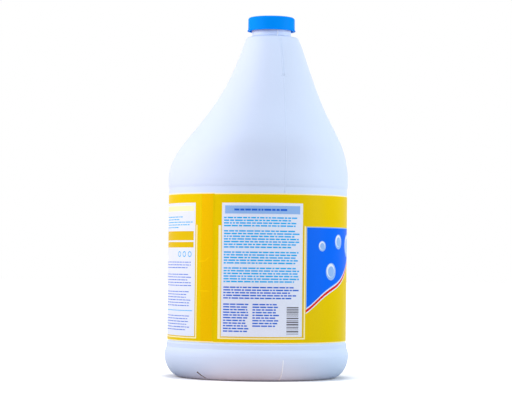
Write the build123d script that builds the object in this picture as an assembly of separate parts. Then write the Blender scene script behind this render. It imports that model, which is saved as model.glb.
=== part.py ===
from build123d import *
import os

# Bleach bottle, in millimetres. The origin is the middle of the base on the floor, and +Z is up.
# The label's front faces -Y. The parting plane is XZ, with the neck towards -X and the handle towards +X.

# Driving dimensions of the body: the shoulder's radius and start, and the steps from there down to the base
wall = 0.9
shoulder_radius = 79.9
shoulder_start = 171.0
panel_recess = 0.6
panel_step = 4.2
panel_bottom = 31.5
foot_rise = 0.8
foot_height = 4.7
foot_bevel = 1.0
heel_bulge = 1.65
heel_drop = 6.8
standing_inset = 14.25
standing_width = 5.0
push_up = 7.0

# Driving dimensions of the shoulder and the neck
ledge_height = 299.0
collar_radius = 22.4
collar_offset = 36.3
collar_rounding = 2.6
neck_offset = 33.0
neck_radius = 17.2
bore_radius = 15.0
neck_height = 15.3
rim_bevel = 0.5

# The shoulder's round sections from the body up to the collar:
# part of the height, part of the way out from collar to body, part of the way forward to the collar
shoulder_sections = [
    (0.00, 1.000, 0.00),
    (0.06, 0.998, 0.01),
    (0.15, 0.958, 0.08),
    (0.28, 0.818, 0.32),
    (0.44, 0.576, 0.60),
    (0.60, 0.364, 0.82),
    (0.76, 0.201, 0.96),
    (0.90, 0.086, 1.00),
    (1.00, 0.000, 0.96),
]

# Driving dimensions of the handle, an oval bar that bridges a scoop in the rear of the shoulder
bar_width = 27.0
bar_thickness = 22.0
bar_clearance = 10.0
bar_rear_margin = 4.5

# Driving dimensions of the cap and its liner
cap_gap = 5.8
cap_radius = 20.5
cap_taper = 0.1
cap_bore = 19.0
cap_top = 1.5
cap_rounding = 2.0
lip_radius = 21.1
lip_height = 0.6
liner_radius = 18.6
liner_thickness = 1.0

# Driving dimensions of the wrap label
label_low_gap = 0.8
label_high_gap = 5.8
film = 0.15
glue = 0.05
overlap_angle = 10.3
overlap_start = 123.7
overlap_rise = 0.4

# Sizes that follow from those
panel_radius = shoulder_radius - panel_recess
foot_radius = panel_radius + foot_rise
heel_radius = foot_radius + heel_bulge
standing_radius = heel_radius - standing_inset
panel_top = shoulder_start - panel_step
foot_bottom = panel_bottom - foot_height
heel_height = foot_bottom - heel_drop
label_bottom = panel_bottom + label_low_gap
label_height = panel_top - label_high_gap - label_bottom
shoulder_height = ledge_height - shoulder_start
rim_height = ledge_height + neck_height
bar_rear = shoulder_radius - bar_rear_margin - bar_thickness / 2
bar_drop = bar_thickness / 2 + bar_clearance
bar_bend = 0.45 * shoulder_height
bar_root = 0.07 * shoulder_height
scoop_bend = 0.28 * shoulder_height
scoop_rim = 0.085 * shoulder_height


def shoulder_at(part):
    """The height that is this part of the way up the shoulder."""
    return shoulder_start + part * shoulder_height


def body(inset):
    """The body below the shoulder, revolved, with its surface moved into the wall by inset."""
    ring_inner = standing_radius - standing_width
    centre = (0, push_up + inset)
    floor_edge = (0.8 * ring_inner, 0.8 * push_up + inset)
    ring_start = (ring_inner, inset)
    ring_end = (standing_radius, inset)
    heel = (heel_radius - inset, heel_height)
    foot_start = (foot_radius - inset, foot_bottom)
    foot_end = (foot_radius - inset, panel_bottom - foot_bevel)
    panel_start = (panel_radius - inset, panel_bottom)
    panel_end = (panel_radius - inset, panel_top)
    top = (shoulder_radius - inset, shoulder_start)
    top_centre = (0, shoulder_start)
    out = (1, 0)
    up = (0, 1)
    down = (0, -1)
    outline = [
        TangentArc(centre, floor_edge, tangent=out),
        Polyline(floor_edge, ring_start, ring_end),
        Spline(ring_end, heel, tangents=(out, up), tangent_scalars=(0.8, 1.4)),
        TangentArc(heel, foot_start, tangent=up),
        Polyline(foot_start, foot_end, panel_start, panel_end),
        TangentArc(top, panel_end, tangent=down),
        Polyline(top, top_centre, centre),
    ]
    return revolve(Plane.XZ * make_face(outline), Axis.Z)


def shoulder(inset):
    """The eccentric shoulder, lofted through round sections. Its wall thickens towards the neck."""
    rings = []
    for part, size, lean in shoulder_sections:
        radius = collar_radius + size * (shoulder_radius - collar_radius) - inset * (1 + 2 * part**4)
        height = shoulder_at(part) - 2 * part**4 * inset
        centre = Plane((-lean * collar_offset, 0, height), x_dir=(-1, 0, 0), z_dir=(0, 0, 1))
        rings.append(centre * Circle(radius))
    cone = loft(rings)
    if inset:
        return cone
    return fillet(cone.edges().sort_by(Axis.Z)[-1], collar_rounding)


def scoop(inset):
    """The cutter that hollows the rear of the shoulder for the fingers, grown by inset."""
    front = -0.07 * shoulder_radius
    rear = 1.3 * shoulder_radius
    line = FilletPolyline(
        (front, shoulder_at(0.94)),
        (0.07 * shoulder_radius, shoulder_at(0.43)),
        (0.43 * shoulder_radius, shoulder_at(0.17)),
        (rear, shoulder_at(0.05)),
        radius=scoop_bend,
    )
    lid = Polyline(line @ 1, (rear, rim_height), (front, rim_height), line @ 0)
    face = make_face([line, lid])
    if inset:
        face = offset(face, amount=inset)
    return extrude(Plane.XZ * face, amount=2 * shoulder_radius, both=True)


def bar(inset):
    """The oval bar, swept from the collar over the scoop and down into the rear of the body."""
    path = Plane.XZ * FilletPolyline(
        (-0.28 * shoulder_radius, ledge_height - bar_drop),
        (bar_rear - 0.23 * shoulder_radius, ledge_height - 1.6 * bar_drop),
        (bar_rear, shoulder_at(0.02)),
        radius=bar_bend,
    )
    across = Plane(path @ 0, x_dir=(0, 1, 0), z_dir=path % 0)
    return sweep(across * Ellipse(bar_width / 2 - inset, bar_thickness / 2 - inset), path=path)


def form(inset):
    """Body, shoulder and handle as one blended solid, with its surface moved into the wall by inset."""
    block = body(inset) + shoulder(inset)
    cutter = scoop(inset)
    scooped = block - cutter
    scooped = fillet(new_edges(block, cutter, combined=scooped), scoop_rim - inset)
    handle = bar(inset)
    joined = scooped + handle
    return fillet(new_edges(scooped, handle, combined=joined), bar_root + inset)


def bottle():
    """The blow-moulded shell with its neck, open at the mouth."""
    neck_place = Pos(-neck_offset, 0, ledge_height - 1)
    bottom_up = (Align.CENTER, Align.CENTER, Align.MIN)
    neck = neck_place * Cylinder(neck_radius, neck_height + 1, align=bottom_up)
    neck = chamfer(neck.edges().group_by(Axis.Z)[-1], rim_bevel)
    bore = neck_place * Pos(0, 0, -4) * Cylinder(bore_radius, neck_height + 10, align=bottom_up)
    return form(0) + neck - form(wall) - bore


def cap():
    """The screw cap: a slightly tapered skirt with a rounded top edge and a thin lip below."""
    low = ledge_height + cap_gap
    inside = rim_height + liner_thickness
    high = inside + cap_top
    outline = Polyline(
        (0, high),
        (cap_radius - cap_taper, high),
        (cap_radius, low + lip_height),
        (lip_radius, low + lip_height),
        (lip_radius, low),
        (cap_bore, low),
        (cap_bore, inside),
        (0, inside),
        close=True,
    )
    turned = revolve(Plane.XZ * make_face(outline), Axis.Z)
    turned = fillet(turned.edges().group_by(Axis.Z)[-1], cap_rounding)
    return Pos(-neck_offset, 0, 0) * turned


def cap_liner():
    """The foam wad between the cap's top and the neck's rim."""
    middle = rim_height + liner_thickness / 2
    return Pos(-neck_offset, 0, middle) * Cylinder(liner_radius, liner_thickness)


def wrap_label():
    """One strip of film round the label panel, whose end is glued over its start."""
    inside = panel_radius + glue
    band = Plane.XZ * Pos(inside + film / 2, label_bottom + label_height / 2) * Rectangle(film, label_height)
    strip = revolve(band, Axis.Z)
    end = revolve(Pos(film, 0, overlap_rise) * band, Axis.Z, overlap_angle)
    return strip + Rot(0, 0, overlap_start) * end


os.makedirs("parts", exist_ok=True)
export_step(bottle(), "parts/bottle.step")
export_step(cap(), "parts/cap.step")
export_step(cap_liner(), "parts/cap_liner.step")
export_step(wrap_label(), "parts/wrap_label.step")
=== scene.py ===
"""Looks of a bleach bottle: satin white plastic, a blue screw cap and a printed film label."""

import math
import random

import bpy
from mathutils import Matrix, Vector
from mathutils.bvhtree import BVHTree
from mathutils.geometry import delaunay_2d_cdt


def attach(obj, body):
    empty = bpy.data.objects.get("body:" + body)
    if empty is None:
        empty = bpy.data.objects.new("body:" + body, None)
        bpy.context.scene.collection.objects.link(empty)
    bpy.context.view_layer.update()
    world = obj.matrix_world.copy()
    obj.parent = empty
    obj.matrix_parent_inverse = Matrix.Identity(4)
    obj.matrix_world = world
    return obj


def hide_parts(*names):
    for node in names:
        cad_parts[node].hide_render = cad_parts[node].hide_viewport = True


MM = 0.001

# Sizes that the solids have, in millimetres and degrees
NECK_X = -33.0
NECK_RADIUS = 17.2
CAP_BORE = 19.0
LEDGE = 299
RIM = 314.3
PANEL_RADIUS = 79.3
LABEL_LOW = 32.3
LABEL_HEIGHT = 128.7
FILM = 0.15
GLUE = 0.05
OVERLAP_START = 123.7
OVERLAP_ANGLE = 10.3
OVERLAP_RISE = 0.4
THREAD_PITCH = 4.23

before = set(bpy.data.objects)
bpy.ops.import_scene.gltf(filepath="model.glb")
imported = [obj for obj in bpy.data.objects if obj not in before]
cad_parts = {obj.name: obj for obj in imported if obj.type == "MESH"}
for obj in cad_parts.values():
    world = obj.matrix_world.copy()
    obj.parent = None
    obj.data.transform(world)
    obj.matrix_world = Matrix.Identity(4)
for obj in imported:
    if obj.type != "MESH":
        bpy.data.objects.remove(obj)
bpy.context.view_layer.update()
scene = bpy.context.scene
scene.view_settings.view_transform = "Standard"


def srgb(red, green, blue):
    """A colour of 0 to 255 as Blender's linear RGBA."""
    linear = []
    for value in (red, green, blue):
        part = value / 255
        linear.append(part / 12.92 if part <= 0.04045 else ((part + 0.055) / 1.055) ** 2.4)
    return (*linear, 1.0)


def around(turn, distance, height):
    """The point at this turn and distance from the upright axis, and at this height."""
    return Vector((distance * math.cos(turn), distance * math.sin(turn), height))


def smooth_step(value, start, length):
    """A smooth rise from 0 at the start to 1 after this length."""
    part = min(max((value - start) / length, 0), 1)
    return part * part * (3 - 2 * part)


# Materials

# Most values of a noise pattern lie between these
NOISE_LOW = 0.3
NOISE_HIGH = 0.7


def new_material(name):
    """A material, its node tree and its Principled node."""
    material = bpy.data.materials.new(name)
    material.use_nodes = True
    tree = material.node_tree
    return material, tree, tree.nodes["Principled BSDF"]


def add(tree, kind, **values):
    """A new node, with values put on its properties or its input sockets."""
    node = tree.nodes.new(kind)
    for key, value in values.items():
        if hasattr(node, key):
            setattr(node, key, value)
        else:
            node.inputs[key.replace("_", " ")].default_value = value
    return node


def noise(tree, scale, detail, stretch=(1, 1, 1)):
    """A noise pattern in the piece's own coordinates, scale in waves per metre."""
    place = add(tree, "ShaderNodeTexCoord")
    mapping = add(tree, "ShaderNodeMapping", Scale=stretch)
    pattern = add(tree, "ShaderNodeTexNoise", Scale=scale, Detail=detail)
    tree.links.new(place.outputs["Object"], mapping.inputs["Vector"])
    tree.links.new(mapping.outputs["Vector"], pattern.inputs["Vector"])
    return pattern.outputs["Fac"]


def ramp(tree, source, stops):
    """Source turned into colours, each stop being a value of the source and its colour."""
    node = add(tree, "ShaderNodeValToRGB")
    elements = node.color_ramp.elements
    elements.remove(elements[1])
    first, colour = stops[0]
    elements[0].position = first
    elements[0].color = colour
    for place, colour in stops[1:]:
        elements.new(place).color = colour
    tree.links.new(source, node.inputs["Fac"])
    return node.outputs["Color"]


def tones(tree, pattern, colour, part):
    """A noise pattern turned into tones, from this part of the colour's brightness up to all of it."""
    dark = (colour[0] * part, colour[1] * part, colour[2] * part, 1.0)
    return ramp(tree, pattern, [(NOISE_LOW, dark), (NOISE_HIGH, colour)])


def spread(tree, pattern, low, high):
    """A noise pattern turned into a number from low to high."""
    limits = {"From_Min": NOISE_LOW, "From_Max": NOISE_HIGH, "To_Min": low, "To_Max": high}
    node = add(tree, "ShaderNodeMapRange", **limits)
    tree.links.new(pattern, node.inputs["Value"])
    return node.outputs["Result"]


def finish(tree, shader, colours, roughness, shine):
    """Puts colours, roughness and shine on the shader."""
    tree.links.new(colours, shader.inputs["Base Color"])
    tree.links.new(roughness, shader.inputs["Roughness"])
    shader.inputs["Specular IOR Level"].default_value = shine


def bump(tree, shader, source, strength, depth):
    """Fine relief on the shader's normal, depth in metres."""
    node = add(tree, "ShaderNodeBump", Strength=strength, Distance=depth)
    tree.links.new(source, node.inputs["Height"])
    tree.links.new(node.outputs["Normal"], shader.inputs["Normal"])


def moulded(name, colour, rough, mottle, grain, relief, shine):
    """Moulded plastic: faint mottling, uneven gloss and a fine skin."""
    material, tree, shader = new_material(name)
    cloud = noise(tree, scale=18, detail=3)
    pores = noise(tree, scale=grain, detail=2)
    gloss = spread(tree, cloud, rough - 0.05, rough + 0.05)
    finish(tree, shader, tones(tree, cloud, colour, 1 - mottle), gloss, shine)
    bump(tree, shader, pores, strength=0.3, depth=relief)
    return material


def printed(name, colour):
    """Ink on film: faintly uneven colour and gloss, with soft ripples in the film."""
    material, tree, shader = new_material(name)
    grain = noise(tree, scale=900, detail=1)
    ripple = noise(tree, scale=30, detail=2, stretch=(1, 1, 0.4))
    gloss = spread(tree, ripple, low=0.3, high=0.4)
    finish(tree, shader, tones(tree, grain, colour, 0.96), gloss, shine=0.02)
    bump(tree, shader, ripple, strength=0.1, depth=0.0003)
    return material


# Each plastic's colour, roughness, mottling, grain in waves per metre, relief in metres, and shine
BOTTLE = moulded("bottle_plastic", srgb(212, 227, 250), 0.5, 0.03, 700, 0.0001, 0.22)
SEAM = moulded("seam_plastic", srgb(236, 244, 255), 0.42, 0.02, 700, 0.00005, 0.3)
# A darker plastic, for painted shade at the neck's foot under the ledge
LEDGE_SHADE = moulded("ledge_shade_plastic", srgb(190, 206, 234), 0.6, 0.03, 700, 0.00005, 0.2)
CAP = moulded("cap_plastic", srgb(0, 146, 255), 0.5, 0.06, 1500, 0.00008, 0.02)
FOAM = moulded("liner_foam", srgb(238, 238, 232), 0.8, 0.06, 2500, 0.0002, 0.2)
SCUFF = moulded("scuff", srgb(98, 78, 64), 0.7, 0.3, 3000, 0.0001, 0.2)

INK = {
    "yellow": printed("label_yellow", srgb(234, 202, 0)),
    "orange": printed("label_overlap", srgb(241, 193, 0)),
    # A paler yellow for painted highlights on the overlap's creases, not a printed ink
    "crease_highlight": printed("label_crease_highlight", srgb(248, 205, 4)),
    "white": printed("label_white", srgb(230, 238, 252)),
    "cream": printed("label_cream", srgb(255, 247, 196)),
    "gold": printed("label_gold", srgb(226, 192, 8)),
    "blue": printed("label_blue", srgb(4, 108, 246)),
    "pale_blue": printed("label_pale_blue", srgb(150, 190, 240)),
    "text": printed("label_text", srgb(36, 178, 246)),
    "dark_text": printed("label_dark_text", srgb(44, 106, 218)),
    "grey": printed("label_grey", srgb(92, 92, 102)),
    "red": printed("label_red", srgb(222, 40, 36)),
}


# Meshes


def add_object(name, data):
    """A new object in the scene."""
    item = bpy.data.objects.new(name, data)
    scene.collection.objects.link(item)
    return item


def new_piece(name, points, faces, material, body="bottle"):
    """A smooth mesh piece from points in millimetres, riding on a body."""
    mesh = bpy.data.meshes.new(name)
    mesh.from_pydata([Vector(p) * MM for p in points], [], faces)
    mesh.validate()
    mesh.polygons.foreach_set("use_smooth", [True] * len(mesh.polygons))
    piece = add_object(name, mesh)
    if material:
        mesh.materials.append(material)
    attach(piece, body)
    return piece


def tree_of(node):
    """The node's surface, for finding points on it."""
    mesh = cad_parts[node].data
    points = [v.co.copy() for v in mesh.vertices]
    return BVHTree.FromPolygons(points, [tuple(p.vertices) for p in mesh.polygons])


SKIN = tree_of("bottle")


def hit(start, towards):
    """The first point of the bottle's skin on a ray, in millimetres, and the skin's direction there."""
    point, normal, _, _ = SKIN.ray_cast(Vector(start) * MM, Vector(towards).normalized())
    return (point / MM, normal) if point else None


def tube(rows, count):
    """The faces that join rows of this many points into a closed tube, with both ends."""
    faces = []
    for row in range(rows - 1):
        for k in range(count):
            a = row * count + k
            b = row * count + (k + 1) % count
            faces.append((a, b, b + count, a + count))
    last = (rows - 1) * count
    faces.append(tuple(range(count))[::-1])
    faces.append(tuple(range(last, last + count)))
    return faces


def ridge(name, stations, width, height, material, end_width=None):
    """A low rounded ridge that follows points on the skin, with its foot sunk into the wall."""
    profile = [(-0.5, -0.25), (-0.32, 0.6), (0.0, 1.0), (0.32, 0.6), (0.5, -0.25)]
    points = []
    last = len(stations) - 1
    change = ((end_width or width) - width) / last
    for row, (point, normal) in enumerate(stations):
        ahead = stations[min(row + 1, last)][0] - stations[max(row - 1, 0)][0]
        side = ahead.cross(normal).normalized() * (width + change * row)
        for along, up in profile:
            points.append(point + side * along + normal * up * height)
    return new_piece(name, points, tube(len(stations), len(profile)), material)


# The label: a strip of film wrapped once round, with its end glued over its start.
# Places on it are degrees from the strip's start and millimetres above its lower edge.

FILM_RADIUS = PANEL_RADIUS + GLUE + FILM
STRIP_ANGLE = 360 + OVERLAP_ANGLE
DEGREE = math.radians(1) * FILM_RADIUS

# Where the strip climbs over its own start, and how its cut end is pressed thin
LAP_START = 359.2
LAP_ANGLE = 1.2
PRESS_ANGLE = 1.2
PRESS = 0.13

# Uneven waves up the overlap: their middle, their reach to either side and their lift
WAVES_MIDDLE = 362
WAVES_REACH = 4.5
WAVES_LIFT = 0.03


def pressed(angle):
    """How much thinner the strip is pressed towards its cut end, in millimetres."""
    return PRESS * smooth_step(angle, STRIP_ANGLE - PRESS_ANGLE, PRESS_ANGLE)


def film_place(angle, height):
    """The point on the wrapped strip, in millimetres."""
    lap = smooth_step(angle, LAP_START, LAP_ANGLE) * (FILM + GLUE)
    slow = math.sin(height * 0.31) * math.sin(height * 0.083 + 1)
    quick = 0.6 * math.sin(height * 0.77 + angle)
    near = math.exp(-(((angle - WAVES_MIDDLE) / WAVES_REACH) ** 2))
    radius = FILM_RADIUS + lap + WAVES_LIFT * near * (1 + slow + quick) - pressed(angle)
    rise = OVERLAP_RISE * angle / STRIP_ANGLE
    return around(math.radians(OVERLAP_START + angle), radius, LABEL_LOW + rise + height)


def film_normal(angle, height):
    """The outward direction of the wrapped strip."""
    step = 0.05
    along = film_place(angle + step, height) - film_place(angle - step, height)
    up = film_place(angle, height + step) - film_place(angle, height - step)
    return along.cross(up).normalized()


# Outlines of print


def block(left, right, low, high):
    """An upright rectangle."""
    return [(left, low), (right, low), (right, high), (left, high)]


def disc(angle, height, size, count=48):
    """A round spot, size in millimetres."""
    steps = [math.tau * k / count for k in range(count)]
    return [(angle + size / 2 / DEGREE * math.cos(t), height + size / 2 * math.sin(t)) for t in steps]


def streak(start, end, thick):
    """A thin line from start to end, drawn out to a point at both."""
    outline = []
    for part, side in ((0, 0), (0.3, -0.5), (0.7, -0.5), (1, 0), (0.7, 0.5), (0.3, 0.5)):
        angle = start[0] + part * (end[0] - start[0])
        height = start[1] + part * (end[1] - start[1])
        outline.append((angle, height + side * thick))
    return outline


# The edge between the front's field and the ground: its middle height, its swing and its steps
EDGE_HEIGHT = 50
EDGE_SWING = -20
EDGE_STEPS = 72


def swinging_edge(left, right, middle):
    """An edge that swings in waves about its middle height."""
    edge = []
    for k in range(EDGE_STEPS + 1):
        part = k / EDGE_STEPS
        slow = EDGE_SWING * math.cos(math.tau * 1.5 * part)
        quick = 0.3 * EDGE_SWING * math.sin(math.tau * 3 * part)
        edge.append((left + (right - left) * part, middle + slow - quick))
    return edge


def field(left, right, middle, top):
    """A field that reaches from a swinging edge up to its level top."""
    return swinging_edge(left, right, middle) + [(right, top), (left, top)]


def ribbon(left, right, middle, thick):
    """A ribbon that hangs this thick under a swinging edge."""
    edge = swinging_edge(left, right, middle)
    return [(angle, height - thick) for angle, height in edge] + edge[::-1]


# Blocks of small print

# Bars that stand for words, in degrees: the shortest, the longest, the gap, and the least room for one more
WORD_SHORT = 1.2
WORD_LONG = 5.0
WORD_GAP = 0.5
WORD_ROOM = 0.8

# The striped box, in millimetres: thicknesses of its bars, of the gaps, and the least room for one more bar
STRIPES = (0.35, 0.35, 0.7, 1.05)
STRIPE_GAPS = (0.35, 0.5, 0.8)
STRIPE_ROOM = 0.6


def rows_down(top, count, step=2.3):
    """Heights of rows, from the top one down."""
    return [top - step * k for k in range(count)]


def lines_of_words(draw, ink, left, right, heights, size, seed, ragged=0.15):
    """Rows of plain bars, as wide as words, that stand for small print."""
    chance = random.Random(seed)
    for height in heights:
        end = right - ragged * chance.random() * (right - left)
        at = left
        while at < end - WORD_ROOM:
            word = min(at + chance.uniform(WORD_SHORT, WORD_LONG), end)
            draw(ink, block(at, word, height - size / 2, height + size / 2))
            at = word + WORD_GAP


def striped_box(draw, left, right, low, high, seed):
    """A small box of level bars."""
    chance = random.Random(seed)
    at = low
    while at < high - STRIPE_ROOM:
        bar = chance.choice(STRIPES)
        draw("grey", block(left, right, at, min(at + bar, high)))
        at += bar + chance.choice(STRIPE_GAPS)


# The label's design

# Heights of the cream line along the strip's lower and upper edge, and the top of the panels' frames
LOW_LINE = 0.8
HIGH_LINE = 0.9
FRAME_TOP = 101

# The darker band on the overlap: where it starts, and its margin at the strip's cut end
BAND_START = 361.0
BAND_MARGIN = 0.9

# Painted highlights along the creases in the overlap: pale lines that stand for the shine on the film's
# wrinkles, each from one place to another
CREASE_HIGHLIGHTS = [
    ((358.4, 69.5), (364.8, 69.9)),
    ((363.6, 69.6), (367.6, 73.8)),
    ((358.4, 44.2), (368.2, 43.9)),
]

# Bubbles on the front: degrees from the field's left edge, height, and width in millimetres
BUBBLES = [
    (13, 84, 9),
    (22, 62, 15),
    (31, 88, 13),
    (50, 85, 20),
    (75, 60, 34),
    (99, 80, 18),
    (112, 52, 16),
    (124, 88, 12),
    (138, 78, 8),
]


def label_print():
    """Every printed shape on the strip, and the painted highlights on its creases, from the ground up, as
    (ink, outline).
    """
    shapes = []

    def draw(ink, outline):
        shapes.append((ink, outline))

    high = LABEL_HEIGHT - HIGH_LINE
    draw("cream", block(0, STRIP_ANGLE, 0, LABEL_HEIGHT))
    draw("yellow", block(0, STRIP_ANGLE, LOW_LINE, high))
    draw("orange", block(BAND_START, STRIP_ANGLE - BAND_MARGIN, LOW_LINE, high))
    # Painted highlights: pale lines where the creased film catches the light
    for start, end in CREASE_HIGHLIGHTS:
        draw("crease_highlight", streak(start, end, thick=1.0))
    information_panel(draw, left=15.6, right=67.5, seed=3)
    side_panel(draw, left=302.0, right=355.7, seed=5)
    front_field(draw, left=70.2, right=221.0)
    return shapes


def framed_panel(draw, left, right, low, high, lines):
    """A white panel. Each line of its frame has an ink, a margin left and right, and a lower edge."""
    for ink, before, after, under in lines:
        draw(ink, block(left - before, right + after, under, FRAME_TOP))
    draw("white", block(left, right, low, high))


def information_panel(draw, left, right, seed):
    """A white panel with a cream frame, a pale head bar, blocks of small print and a striped box."""
    text_size = 1.25
    small_size = 1.15
    start = left + 1.4
    column = 16.5
    lines = [("cream", 2.2, 2.2, 3.8), ("gold", 0.5, 1.3, 4.9)]
    framed_panel(draw, left, right, low=5.9, high=120.4, lines=lines)
    draw("pale_blue", block(left + 2, right - 2, low=111, high=118))
    lines_of_words(draw, "dark_text", left + 8, right - 10, (114.5,), size=1.7, seed=seed, ragged=0.1)
    for top, rows in ((107.6, 4), (96.2, 7), (78, 5), (64.4, 6)):
        lines_of_words(draw, "text", start, right - 1.2, rows_down(top, rows), text_size, seed + rows)
    lines_of_words(draw, "dark_text", start, right - 1.4, rows_down(48, 5), small_size, seed + 9)
    for side, rows in ((start, 11), (left + 20, 9)):
        lines_of_words(draw, "dark_text", side, side + column, rows_down(33.5, rows), small_size, seed + rows)
    striped_box(draw, right - 10.5, right - 2.5, low=8, high=32, seed=seed)


def side_panel(draw, left, right, seed):
    """A white panel with a pale head bar, two gold bars, three rings and blocks of small print."""
    text_size = 0.7
    text_step = 2.4
    ring_step = 5.5
    start = left + 2
    end = right - 2
    lines = [("cream", 2.0, 1.6, 3.0), ("gold", 1.2, 0.8, 3.9)]
    framed_panel(draw, left, right, low=4.8, high=120.2, lines=lines)
    draw("cream", block(start, right - 1.4, low=113, high=117.6))
    lines_of_words(draw, "text", left + 12, end, rows_down(108, 5), size=0.8, seed=seed, ragged=0.4)
    for low, high in ((87.6, 95.6), (81.4, 86.2)):
        draw("gold", block(start, right - 1.4, low, high))
    for k in range(3):
        for ink, size in (("text", 5), ("white", 3.4)):
            draw(ink, disc(right - 5 - ring_step * k, 75.6, size, count=24))
    for top, rows in ((68.6, 3), (58, 5), (43, 6)):
        lines_of_words(draw, "dark_text", start, end, rows_down(top, rows, text_step), text_size, seed + rows)
    draw("text", block(start, end, low=26.4, high=27))
    lines_of_words(draw, "dark_text", start, end, rows_down(22, 6, text_step), text_size, seed + 8)


def front_field(draw, left, right):
    """The front: a blue field over a swinging red and white ribbon, with plain bubbles.

    Each bubble is a pale spot with a smaller white one, set a little up and left, and a pale middle.
    """
    draw("pale_blue", field(left, right, EDGE_HEIGHT, top=100.6))
    draw("blue", field(left + 0.5, right - 0.5, EDGE_HEIGHT + 0.8, top=99.8))
    draw("white", ribbon(left, right, EDGE_HEIGHT, thick=4.4))
    draw("red", ribbon(left, right, EDGE_HEIGHT - 1, thick=2.4))
    for angle, height, size in BUBBLES:
        draw("pale_blue", disc(left + angle, height, size))
        draw("white", disc(left + angle - 0.03 * size, height + 0.06 * size, 0.78 * size))
        draw("pale_blue", disc(left + angle, height, 0.62 * size))


# The label's mesh

# From this angle on, the strip is cut into this many rows, for the waves of the overlap
ROWS_START = 356
ROWS = 64

# Upright cuts, in degrees: all round, where the strip climbs over its start, beyond that, and at its cut end
COLUMNS = [2.0 * k for k in range(1, 180)]
COLUMNS += [359 + 0.3 * k for k in range(1, 9)]
COLUMNS += [363, 365, 367, 368.5]
COLUMNS += [STRIP_ANGLE - 0.3 * k for k in range(1, 5)]

# Points of the cut strip that are closer than this are one, in millimetres
MERGE = 0.0005


def film_mesh(shapes):
    """The strip cut along every printed outline, each face with the ink that lies on top there."""
    points = []
    edges = []
    outlines = []

    def cut(start, end):
        edges.append((len(points), len(points) + 1))
        points.extend(Vector((angle * DEGREE, height)) for angle, height in (start, end))

    for _, outline in shapes:
        first = len(points)
        points += [Vector((angle * DEGREE, height)) for angle, height in outline]
        outlines.append(list(range(first, len(points))))
    for angle in COLUMNS:
        cut((angle, 0), (angle, LABEL_HEIGHT))
    for k in range(1, ROWS):
        height = LABEL_HEIGHT * k / ROWS
        cut((ROWS_START, height), (STRIP_ANGLE, height))
    flat, _, faces, _, _, covers = delaunay_2d_cdt(points, edges, outlines, 1, MERGE)
    places = [(p.x / DEGREE, p.y) for p in flat]
    inks = [shapes[max(cover)][0] for cover in covers]
    return places, [tuple(face) for face in faces], inks


def border(faces):
    """The edges that only one face has, in that face's direction."""
    found = {}
    for face in faces:
        for k in range(len(face)):
            edge = (face[k - 1], face[k])
            if edge[::-1] in found:
                del found[edge[::-1]]
            else:
                found[edge] = True
    return list(found)


def make_label():
    """The wrap label as one printed film with a back and a rim."""
    places, faces, inks = film_mesh(label_print())
    front = [film_place(*place) for place in places]
    outward = [film_normal(*place) for place in places]
    thick = [FILM - pressed(angle) for angle, _ in places]
    back = [point - normal * part for point, normal, part in zip(front, outward, thick)]
    count = len(front)
    rim = [(b, a, a + count, b + count) for a, b in border(faces)]
    behind = [tuple(count + k for k in reversed(face)) for face in faces]
    label = new_piece("printed_label", front + back, faces + behind + rim, None)
    slots = list(INK)
    for ink in slots:
        label.data.materials.append(INK[ink])
    plain = [slots.index("white")] * len(behind) + [slots.index("orange")] * len(rim)
    label.data.polygons.foreach_set("material_index", [slots.index(ink) for ink in inks] + plain)
    label.data.normals_split_custom_set_from_vertices(outward + [-normal for normal in outward])
    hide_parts("wrap_label")


# Small forms on the plastic, in millimetres

# Rays that look for the skin start this far out
FAR = 200

# The seams: where they start above the label, where the neck insert's begin, and the top of the rear one
SEAM_LOW = 162
INSERT_LOW = 263
REAR_HIGH = 296

# The two sides that the seams are on
NECK_SIDE = -1
HANDLE_SIDE = 1

# The middle of the base corner's curve, to the side and up, and a point in the finger gap
CORNER_SIDE = 60
CORNER_HEIGHT = 20
GAP_MIDDLE = (24, 0, 234)

# Screw threads: the crests' distances from the axis, the turns, and the start's turn and depth under the rim
NECK_CREST = 18.6
CAP_CREST = 17.7
NECK_TURNS = 1.4
CAP_TURNS = 1.1
THREAD_START = 0.3
THREAD_DROP = 7.9

# A thread's section: half its width at the foot and at the crest, and how deep its foot is sunk
FOOT_HALF = 0.95
CREST_HALF = 0.35
FOOT_SINK = 0.3

# Steps in one turn of a thread or a ring
STEPS_A_TURN = 72

# One part in this many of a thread's length fades at each end, down to this part of its height
FADE_PARTS = 12
FADE_LEAST = 0.02

# The scuff: its turn from +X and its run in degrees, its top, its fall and the steps along it
SCUFF_TURN = 121.0
SCUFF_RUN = 4.8
SCUFF_TOP = 6.8
SCUFF_FALL = 5.8
SCUFF_STEPS = 8


def low_seam(side, aside):
    """Points down the base corner on one side of the bottle, seen from outside."""
    middle = Vector((side * CORNER_SIDE, aside, CORNER_HEIGHT))
    stations = []
    for degrees in range(4, 63, 2):
        t = math.radians(degrees)
        inward = Vector((-side * math.cos(t), 0, math.sin(t)))
        stations.append(hit(middle - FAR * inward, inward))
    return stations


def high_seam(side, low, high, foot, head):
    """Points up the shoulder on one side of the bottle, from foot to head sideways."""
    stations = []
    for z in range(low, high, 2):
        aside = foot + (head - foot) * (z - low) / (high - low)
        stations.append(hit((FAR * side, aside, z), (-side, 0, 0)))
    return stations


def insert_end():
    """Points across the front, where the neck insert's lines begin."""
    return [hit((-FAR, 0.5 * k, INSERT_LOW), (1, 0, 0)) for k in range(-6, 7)]


def neck_seam():
    """Points up the front of the neck."""
    return [hit((-FAR, 0, LEDGE + 0.5 + k), (1, 0, 0)) for k in range(7)]


def ring_round_neck(height):
    """Points on the neck, once round it at this height."""
    stations = []
    for degrees in range(0, 365, 5):
        outward = around(math.radians(degrees), 1, 0)
        stations.append(hit(Vector((NECK_X, 0, height)) + FAR * outward, -outward))
    return stations


def ring_in_finger_gap():
    """Points round the inside of the finger gap."""
    circle = [math.tau * k / STEPS_A_TURN for k in range(STEPS_A_TURN)]
    return [hit(GAP_MIDDLE, (math.cos(t), 0, math.sin(t))) for t in circle]


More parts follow.
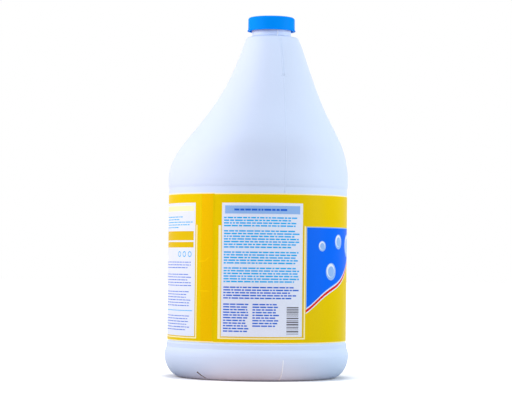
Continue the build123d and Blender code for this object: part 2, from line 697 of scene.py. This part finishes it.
def parting_line():
    """The fine raised lines that the mould's halves and its neck insert leave on the plastic, and a faint
    ring of darker plastic at the neck's foot, which is painted shade under the ledge.

    Each kind of line has a width, a height and a plastic.
    """
    faint = (0.8, 0.15, BOTTLE)
    fine = (0.7, 0.22, BOTTLE)
    bold = (1.1, 0.3, SEAM)
    foot_shade = (1.1, 0.08, LEDGE_SHADE)
    runs = {
        "front_low": (low_seam(NECK_SIDE, aside=2.4), bold),
        "rear_low": (low_seam(HANDLE_SIDE, aside=0), bold),
        "front_high": (high_seam(NECK_SIDE, SEAM_LOW, INSERT_LOW, foot=1.8, head=0.6), faint),
        "rear_high": (high_seam(HANDLE_SIDE, SEAM_LOW, REAR_HIGH, foot=0, head=0), faint),
        "insert_left": (high_seam(NECK_SIDE, INSERT_LOW, LEDGE, foot=1.2, head=1.2), fine),
        "insert_right": (high_seam(NECK_SIDE, INSERT_LOW, LEDGE, foot=-0.2, head=-0.2), fine),
        "neck": (neck_seam(), bold),
        # Barely raised, and darker: painted shade where the ledge shades the neck's foot
        "neck_foot_shade": (ring_round_neck(LEDGE + 1), foot_shade),
        "finger_gap": (ring_in_finger_gap(), faint),
        "insert_end": (insert_end(), fine),
    }
    for name, (run, look) in runs.items():
        stations = [station for station in run if station]
        ridge(f"parting_{name}", stations, *look)


def helix(name, radius, crest, low, turns, body, material):
    """A screw thread: a ridge that climbs round the neck axis and fades at both ends."""
    steps = int(turns * STEPS_A_TURN)
    points = []
    for k in range(steps + 1):
        part = k / steps
        fade = max(min(1.0, FADE_PARTS * part, FADE_PARTS * (1 - part)), FADE_LEAST)
        turn = THREAD_START + math.tau * turns * part
        height = low + THREAD_PITCH * turns * part
        top = radius + (crest - radius) * fade
        foot = radius - math.copysign(FOOT_SINK, crest - radius)
        for r, z in ((foot, -FOOT_HALF), (top, -CREST_HALF), (top, CREST_HALF), (foot, FOOT_HALF)):
            points.append(Vector((NECK_X, 0, 0)) + around(turn, r, height + z))
    return new_piece(name, points, tube(steps + 1, 4), material, body)


def threads():
    """The neck's thread, and the cap's own between its turns."""
    low = RIM - THREAD_DROP
    neck = helix("neck_thread", NECK_RADIUS, NECK_CREST, low, NECK_TURNS, "bottle", BOTTLE)
    inner = helix("cap_thread", CAP_BORE, CAP_CREST, low + THREAD_PITCH / 2, CAP_TURNS, "cap", CAP)


def scuff_mark():
    """A thin brown scratch low on the base, which falls as it runs round and gets narrower."""
    stations = []
    for k in range(SCUFF_STEPS + 1):
        part = k / SCUFF_STEPS
        turn = math.radians(SCUFF_TURN + SCUFF_RUN * part)
        height = SCUFF_TOP - SCUFF_FALL * part
        stations.append(hit(around(turn, FAR, height), -around(turn, 1, 0)))
    ridge("scuff_mark", stations, width=1.9, height=0.06, material=SCUFF, end_width=1.0)


# Studio, in metres

# The camera: its direction from the bottle, its left, its place, the point that it looks at, and its roll
VIEW = math.radians(162)
LEFT = VIEW - math.pi / 2
EYE_DISTANCE = 1.856
EYE_HEIGHT = 0.103
AIM_LEFT = 0.0018
AIM_HEIGHT = 0.1574
ROLL = math.radians(0.63)

# The lens: the sensor's width in millimetres, and focal length and picture width in pixels
SENSOR = 36
FOCAL_PIXELS = 2080
PICTURE_PIXELS = 512

# The soft boxes: their distance, their size and the height that they face
BOX_DISTANCE = 1.35
BOX_SIZE = 0.7
BOX_AIM = 0.15

# The floor: half its width, and how far it lies under the base
FLOOR_REACH = 8
FLOOR_DROP = 0.0002

# The floor's own glow, by distance from the middle of the base: none round the base's foot, which paints the
# floor darker there on top of the real shadow
GLOW_WITH_PAINTED_SHADE = [(0.078, 0.0), (0.09, 0.36), (0.4, 0.65)]

# The light that the floor gives back to the bottle, by distance to either side
SHADE = (0.05, 0.13, 0.22, 1)
TINT = [
    (0.035, (0.84, 0.6, 0.52, 1)),
    (0.08, SHADE),
    (0.105, SHADE),
    (0.16, (0.22, 0.36, 0.52, 1)),
    (0.32, (0.6, 0.44, 0.38, 1)),
]


def camera():
    """The camera at the photograph's place, a little below the shoulder and rolled by a hair."""
    data = bpy.data.cameras.new("camera")
    data.sensor_width = SENSOR
    data.lens = SENSOR * FOCAL_PIXELS / PICTURE_PIXELS
    data.clip_end = 50
    eye = around(VIEW, EYE_DISTANCE, EYE_HEIGHT)
    aim = around(LEFT, AIM_LEFT, AIM_HEIGHT)
    camera_object = add_object("camera", data)
    camera_object.matrix_world = (aim - eye).to_track_quat("-Z", "Y").to_matrix().to_4x4()
    camera_object.location = eye
    camera_object.rotation_euler.rotate_axis("Z", ROLL)
    scene.camera = camera_object


def lamp(name, azimuth, height, power, colour):
    """A soft box that faces the bottle, azimuth in degrees left of the camera."""
    data = bpy.data.lights.new(name, "AREA")
    data.shape = "RECTANGLE"
    data.size = BOX_SIZE
    data.size_y = BOX_SIZE
    data.energy = power
    data.color = colour
    place = around(VIEW - math.radians(azimuth), BOX_DISTANCE, height)
    box = add_object(name, data)
    box.location = place
    box.rotation_euler = (Vector((0, 0, BOX_AIM)) - place).to_track_quat("-Z", "Y").to_euler()


def seen(tree):
    """1 for the rays that show the surround as it is: the camera's, mirrored ones and those through glass."""
    path = add(tree, "ShaderNodeLightPath")
    total = path.outputs["Is Camera Ray"]
    for kind in ("Is Glossy Ray", "Is Transmission Ray"):
        either = add(tree, "ShaderNodeMath", operation="MAXIMUM")
        tree.links.new(total, either.inputs[0])
        tree.links.new(path.outputs[kind], either.inputs[1])
        total = either.outputs[0]
    return total


def either_way(tree, hidden, shown):
    """The shown shader for the rays that show the surround, and the hidden one for all others."""
    mix = add(tree, "ShaderNodeMixShader")
    tree.links.new(seen(tree), mix.inputs[0])
    tree.links.new(hidden.outputs[0], mix.inputs[1])
    tree.links.new(shown.outputs[0], mix.inputs[2])
    return mix.outputs[0]


def floor_material():
    """White paper that keeps the shadow. Its own glow is none round the base's foot and grows away from the
    bottle, which paints the floor darker near the base on top of the real shadow.

    The light that it gives back to the bottle is warm in front of it, but dim and cool beside the base.
    """
    material, tree, paper = new_material("floor")
    paper.inputs["Base Color"].default_value = (0.95, 0.95, 0.95, 1)
    paper.inputs["Roughness"].default_value = 0.9
    paper.inputs["Specular IOR Level"].default_value = 0.0
    place = add(tree, "ShaderNodeTexCoord")

    distance = add(tree, "ShaderNodeVectorMath", operation="LENGTH")
    glow = add(tree, "ShaderNodeEmission", Strength=1.0)
    bright = add(tree, "ShaderNodeAddShader")
    # Glow held back near the base: painted shade round its foot
    greys = [(at, (part, part, part, 1)) for at, part in GLOW_WITH_PAINTED_SHADE]
    tree.links.new(place.outputs["Object"], distance.inputs[0])
    tree.links.new(ramp(tree, distance.outputs["Value"], greys), glow.inputs["Color"])
    tree.links.new(paper.outputs[0], bright.inputs[0])
    tree.links.new(glow.outputs[0], bright.inputs[1])

    sideways = add(tree, "ShaderNodeVectorMath", operation="DOT_PRODUCT")
    sideways.inputs[1].default_value = around(LEFT, 1, 0)
    far = add(tree, "ShaderNodeMath", operation="ABSOLUTE")
    dim = add(tree, "ShaderNodeBsdfDiffuse")
    tree.links.new(place.outputs["Object"], sideways.inputs[0])
    tree.links.new(sideways.outputs["Value"], far.inputs[0])
    tree.links.new(ramp(tree, far.outputs[0], TINT), dim.inputs["Color"])

    surface = tree.nodes["Material Output"].inputs["Surface"]
    tree.links.new(either_way(tree, dim, bright), surface)
    return material


def surround():
    """A white surround, which lights the bottle with a softer, cooler white."""
    world = bpy.data.worlds.new("studio")
    scene.world = world
    world.use_nodes = True
    tree = world.node_tree
    tree.nodes.clear()
    ambient = add(tree, "ShaderNodeBackground", Color=(0.905, 0.948, 1, 1), Strength=0.621)
    white = add(tree, "ShaderNodeBackground", Color=(1, 1, 1, 1), Strength=1.0)
    out = add(tree, "ShaderNodeOutputWorld")
    tree.links.new(either_way(tree, ambient, white), out.inputs[0])


def white_floor():
    """A wide level floor."""
    mesh = bpy.data.meshes.new("floor")
    corners = [(FLOOR_REACH * x, FLOOR_REACH * y, 0) for x, y in ((-1, -1), (1, -1), (1, 1), (-1, 1))]
    mesh.from_pydata(corners, [], [(0, 1, 2, 3)])
    mesh.materials.append(floor_material())
    floor = add_object("floor", mesh)
    floor.location.z = -FLOOR_DROP


def studio():
    """Three soft boxes, a white surround and a white floor that keeps the shadow."""
    lamp("left_box", azimuth=55, height=0.8, power=12.3, colour=(0.888, 0.917, 1.0))
    lamp("left_fill", azimuth=90, height=0.36, power=4.9, colour=(1.0, 0.68, 0.5))
    lamp("right_box", azimuth=-75, height=0.36, power=11.0, colour=(0.905, 0.964, 1.0))
    surround()
    white_floor()


def dress(node, material):
    """Puts a material on a solid that stays in view."""
    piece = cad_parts[node]
    for place in piece.material_slots:
        place.link = "OBJECT"
        place.material = material


dress("bottle", BOTTLE)
dress("cap", CAP)
dress("cap_liner", FOAM)
make_label()
parting_line()
threads()
scuff_mark()
camera()
studio()
